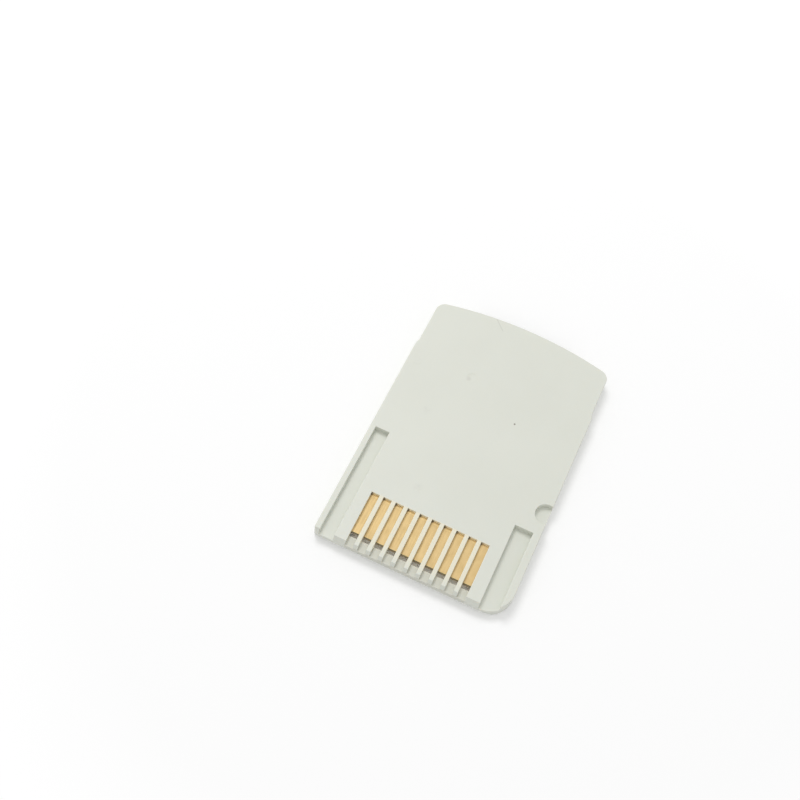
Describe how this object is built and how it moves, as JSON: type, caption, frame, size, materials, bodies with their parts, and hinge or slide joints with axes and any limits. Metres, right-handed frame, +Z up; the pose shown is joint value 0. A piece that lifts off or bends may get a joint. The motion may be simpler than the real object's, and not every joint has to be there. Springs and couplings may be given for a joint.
{
  "type": "memory card adapter",
  "caption": "Flat white stick-format card adapter with a row of gold contacts behind ribs, guide grooves, a side notch and a keyed rear slot for a micro card.",
  "frame": {"origin": "middle of the label side's face, which the card lies on, halfway along and across the card", "axes": "+Z up through the card to its contact side; +Y from the contact end to the bowed rear end with the slot; +X to the side with the short groove and the notch"},
  "size_m": [0.02, 0.031, 0.0016],
  "materials": {
    "white_plastic": "fine satin moulding",
    "white_film": "matt film",
    "board_laminate": "solder mask over glass-epoxy laminate",
    "gold_plating": "satin gold plating",
    "black_plastic": "satin",
    "gilt_bronze": "bright rolled strip",
    "solder": "bright",
    "spring_steel": "bright rolled strip",
    "chip_resin": "fine matt",
    "capacitor_ceramic": "ceramic",
    "resistor_glaze": "glazed"
  },
  "bodies": {
    "root": {"contact_side_shell": "white_plastic", "label_side_shell": "white_plastic", "blank_label": "white_film", "circuit_board": "board_laminate", "gold_contact_1": "gold_plating", "gold_contact_2": "gold_plating", "gold_contact_3": "gold_plating", "gold_contact_4": "gold_plating", "gold_contact_5": "gold_plating", "gold_contact_6": "gold_plating", "gold_contact_7": "gold_plating", "gold_contact_8": "gold_plating", "gold_contact_9": "gold_plating", "gold_contact_10": "gold_plating", "spring_block": "black_plastic", "spring_contact_1": "gilt_bronze", "spring_contact_2": "gilt_bronze", "spring_contact_3": "gilt_bronze", "spring_contact_4": "gilt_bronze", "spring_contact_5": "gilt_bronze", "spring_contact_6": "gilt_bronze", "spring_contact_7": "gilt_bronze", "spring_contact_8": "gilt_bronze", "solder_joints": "solder", "leaf_spring": "spring_steel", "controller_chip": "chip_resin", "capacitor_1": "capacitor_ceramic", "capacitor_2": "capacitor_ceramic", "capacitor_3": "capacitor_ceramic", "capacitor_4": "capacitor_ceramic", "resistor_1": "resistor_glaze", "resistor_2": "resistor_glaze", "resistor_3": "resistor_glaze", "resistor_4": "resistor_glaze"}
  },
  "joints": []
}
